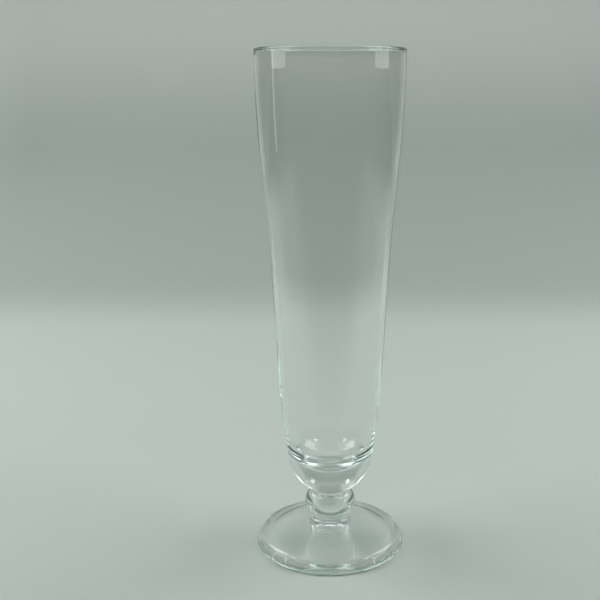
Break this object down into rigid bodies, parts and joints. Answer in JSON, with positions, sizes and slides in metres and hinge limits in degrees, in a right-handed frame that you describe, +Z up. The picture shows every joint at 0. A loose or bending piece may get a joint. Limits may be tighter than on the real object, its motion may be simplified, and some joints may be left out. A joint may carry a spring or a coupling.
{
  "type": "pilsner glass",
  "caption": "Tall footed pilsner glass in clear glass: a tapered bowl on a solid round base, a bead stem and a thick conical foot.",
  "frame": {"origin": "centre of the plane that the foot stands on", "axes": "+Z up along the axis of the glass; the glass is round, so X and Y are free"},
  "size_m": [0.071, 0.071, 0.235],
  "materials": {
    "clear_glass": "clear polished soda-lime glass with a slight green tint where it is thick"
  },
  "bodies": {
    "root": {"bowl": "clear_glass", "bead": "clear_glass", "foot": "clear_glass"}
  },
  "joints": []
}
